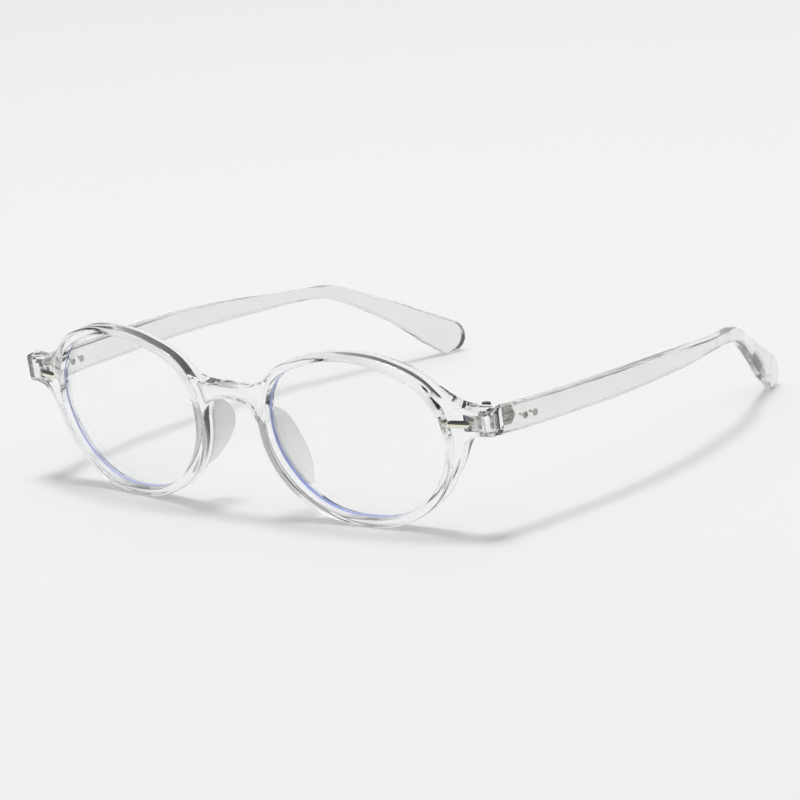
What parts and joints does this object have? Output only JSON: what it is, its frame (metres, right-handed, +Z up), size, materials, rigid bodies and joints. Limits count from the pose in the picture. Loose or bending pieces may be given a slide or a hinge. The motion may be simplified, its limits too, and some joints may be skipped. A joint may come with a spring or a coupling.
{
  "type": "eyeglasses",
  "caption": "Oval full-rim eyeglasses in clear plastic with clear lenses, fixed nose pads and folding temples on barrel hinges.",
  "frame": {"origin": "middle of the footprint of the open eyeglasses, on the surface they stand on", "axes": "+Z up, the front faces -Y, the temples run to +Y, +X is the wearer's left"},
  "size_m": [0.1482, 0.1528, 0.0429],
  "materials": {
    "clear_plastic": "polished, see-through",
    "lens": "polished, see-through",
    "pad": "milky, half see-through",
    "champagne_metal": "satin",
    "silver_metal": "satin",
    "dark_steel": "satin"
  },
  "bodies": {
    "front": {"front_frame": "clear_plastic", "lens_left": "lens", "lens_right": "lens", "nose_pad_left": "pad", "nose_pad_right": "pad", "trim_left": "champagne_metal", "trim_right": "champagne_metal", "hinge_front_leaf_left": "silver_metal", "hinge_front_leaf_right": "silver_metal", "hinge_screw_left": "dark_steel", "hinge_screw_right": "dark_steel"},
    "left_temple": {"temple_left": "clear_plastic", "hinge_temple_leaf_left": "silver_metal", "rivet_fore_left": "silver_metal", "rivet_aft_left": "silver_metal"},
    "right_temple": {"temple_right": "clear_plastic", "hinge_temple_leaf_right": "silver_metal", "rivet_fore_right": "silver_metal", "rivet_aft_right": "silver_metal"}
  },
  "joints": [
    {"name": "left_temple_fold", "type": "hinge", "parent": "front", "child": "left_temple", "pos_m": [0.0666, -0.06128, 0.0272], "axis": [0, 0.0349, 0.9994], "range_deg": [0, 82]},
    {"name": "right_temple_fold", "type": "hinge", "parent": "front", "child": "right_temple", "pos_m": [-0.0666, -0.06128, 0.0272], "axis": [0, -0.0349, -0.9994], "range_deg": [0, 71]}
  ]
}
